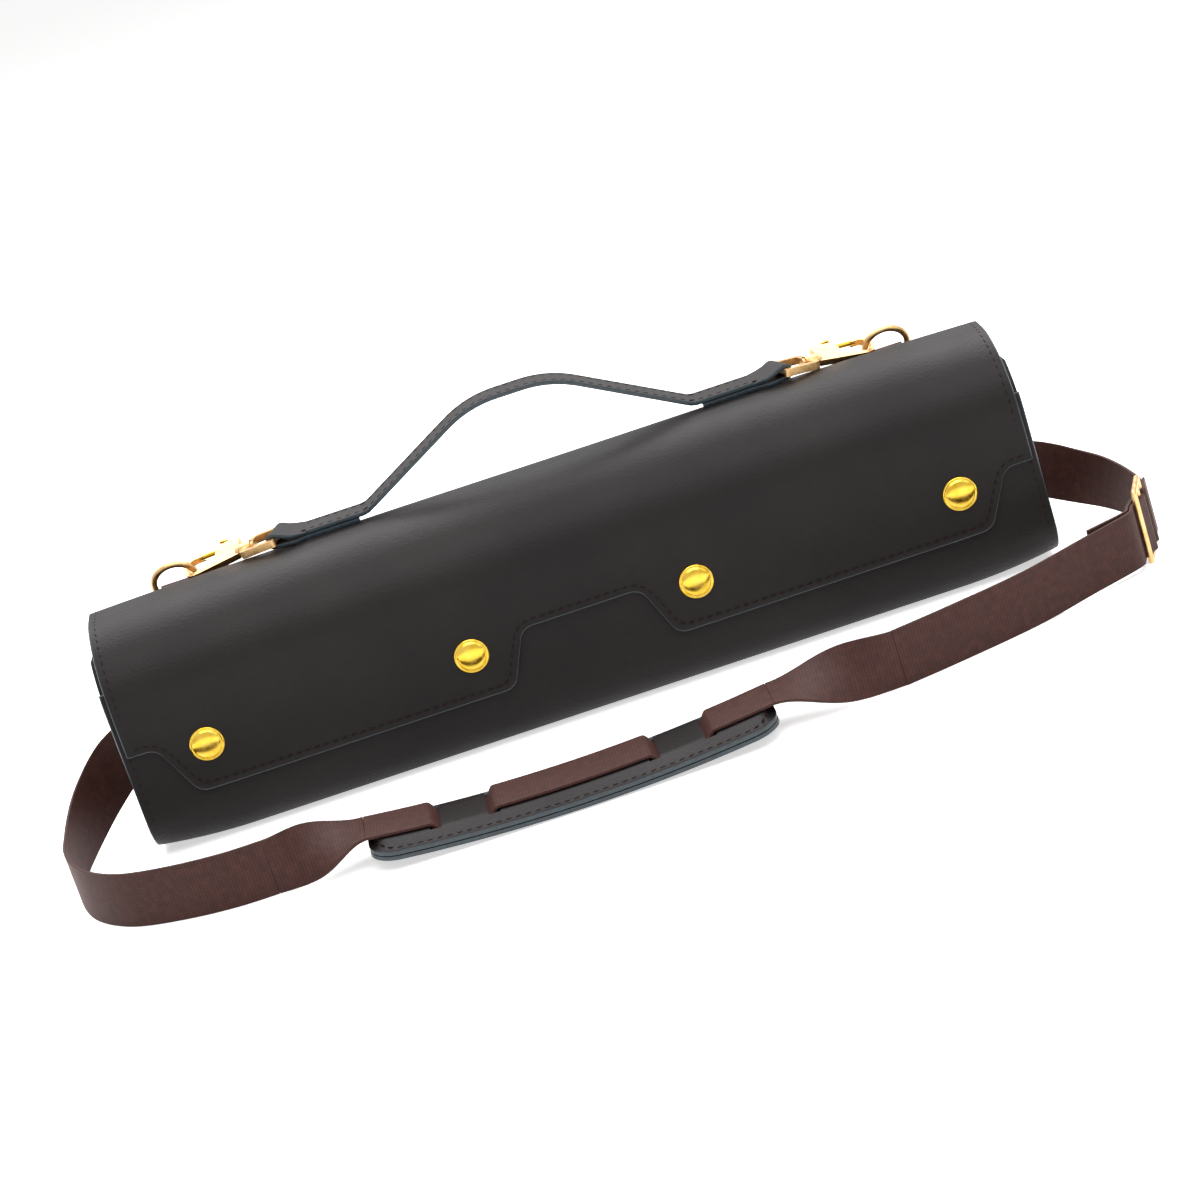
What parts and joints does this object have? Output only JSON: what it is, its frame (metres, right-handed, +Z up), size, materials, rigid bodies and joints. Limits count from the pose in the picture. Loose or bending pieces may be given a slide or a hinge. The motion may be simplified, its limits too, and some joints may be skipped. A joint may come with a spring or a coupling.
{
  "type": "flute case",
  "caption": "Long soft roll-shaped case with a wrap-over flap on press-studs, a hooked-on carrying handle and a webbing shoulder strap with a sliding pad.",
  "frame": {"origin": "centre of the case's flat base, on the surface that it stands on", "axes": "+X along the case, the front faces -Y, +Z is up"},
  "size_m": [0.5001, 0.1658, 0.144],
  "materials": {
    "leather": "satin smooth dark brown, painted edges",
    "board": "matt grey-brown board",
    "lining": "matt fine cloth",
    "foam": "matt closed-cell foam",
    "webbing": "ribbed woven webbing",
    "snap_gold": "polished gold",
    "hook_gold": "polished pale gold",
    "steel": "plated"
  },
  "bodies": {
    "case": {"body_shell": "leather", "gusset_left": "leather", "gusset_right": "leather", "front_board": "board", "bottom_board": "board", "back_board": "board", "lining": "lining", "end_lining_left": "lining", "end_lining_right": "lining", "snap_studs": "steel", "snap_posts": "steel", "strap_left": "webbing", "strap_right": "webbing", "strap_rear": "webbing", "slide_frame": "hook_gold", "strap_patch_left": "leather", "strap_patch_right": "leather", "patch_rivets": "hook_gold", "strap_lead_left": "webbing", "strap_lead_right": "webbing"},
    "flap": {"flap": "leather", "flap_board": "board", "flap_lining": "lining", "snap_caps": "snap_gold", "snap_sockets": "steel", "ring_tab_left": "webbing", "ring_tab_right": "webbing", "tab_rivets": "hook_gold"},
    "ring_left": {"ring_left": "hook_gold"},
    "ring_right": {"ring_right": "hook_gold"},
    "handle": {"handle_strap": "leather", "hook_eye_left": "hook_gold", "hook_eye_right": "hook_gold"},
    "hook_left": {"hook_left": "hook_gold"},
    "hook_right": {"hook_right": "hook_gold"},
    "trigger_left": {"trigger_left": "hook_gold"},
    "trigger_right": {"trigger_right": "hook_gold"},
    "shoulder_pad": {"pad_top": "leather", "pad_core": "foam", "pad_base": "leather", "strap_pad_run": "webbing"}
  },
  "joints": [
    {"name": "flap_open", "type": "hinge", "parent": "case", "child": "flap", "pos_m": [0, 0.0348, 0.086], "axis": [-1, 0, 0], "range_deg": [0, 110]},
    {"name": "handle_swing", "type": "hinge", "parent": "flap", "child": "handle", "pos_m": [0, 0.03615, 0.099], "axis": [-1, 0, 0], "range_deg": [0, 45]},
    {"name": "ring_left_swing", "type": "hinge", "parent": "flap", "child": "ring_left", "pos_m": [-0.168, 0.03615, 0.099], "axis": [-1, 0, 0], "range_deg": [0, 45]},
    {"name": "ring_right_swing", "type": "hinge", "parent": "flap", "child": "ring_right", "pos_m": [0.168, 0.03615, 0.099], "axis": [-1, 0, 0], "range_deg": [0, 45]},
    {"name": "hook_left_swivel", "type": "hinge", "parent": "handle", "child": "hook_left", "pos_m": [-0.13291, 0.02436, 0.10966], "axis": [-0.9378, 0.3159, -0.1437], "range_deg": [-10, 10]},
    {"name": "hook_right_swivel", "type": "hinge", "parent": "handle", "child": "hook_right", "pos_m": [0.13291, 0.02436, 0.10966], "axis": [0.9378, 0.3159, -0.1437], "range_deg": [-10, 10]},
    {"name": "trigger_left_slide", "type": "slide", "parent": "hook_left", "child": "trigger_left", "axis": [0.9378, -0.3159, 0.1437], "range_m": [0, 0.006], "stiffness_N_per_m": 200, "springref_m": -0.003},
    {"name": "trigger_right_slide", "type": "slide", "parent": "hook_right", "child": "trigger_right", "axis": [-0.9378, -0.3159, 0.1437], "range_m": [0, 0.006], "stiffness_N_per_m": 200, "springref_m": -0.003},
    {"name": "pad_slide", "type": "slide", "parent": "case", "child": "shoulder_pad", "axis": [1, 0, 0], "range_m": [-0.015, 0.015], "deforming": ["strap_lead_left", "strap_lead_right"]}
  ],
  "couplings": [
    {"joint": "ring_left_swing", "follows": "handle_swing", "ratio": 1},
    {"joint": "ring_right_swing", "follows": "handle_swing", "ratio": 1}
  ]
}
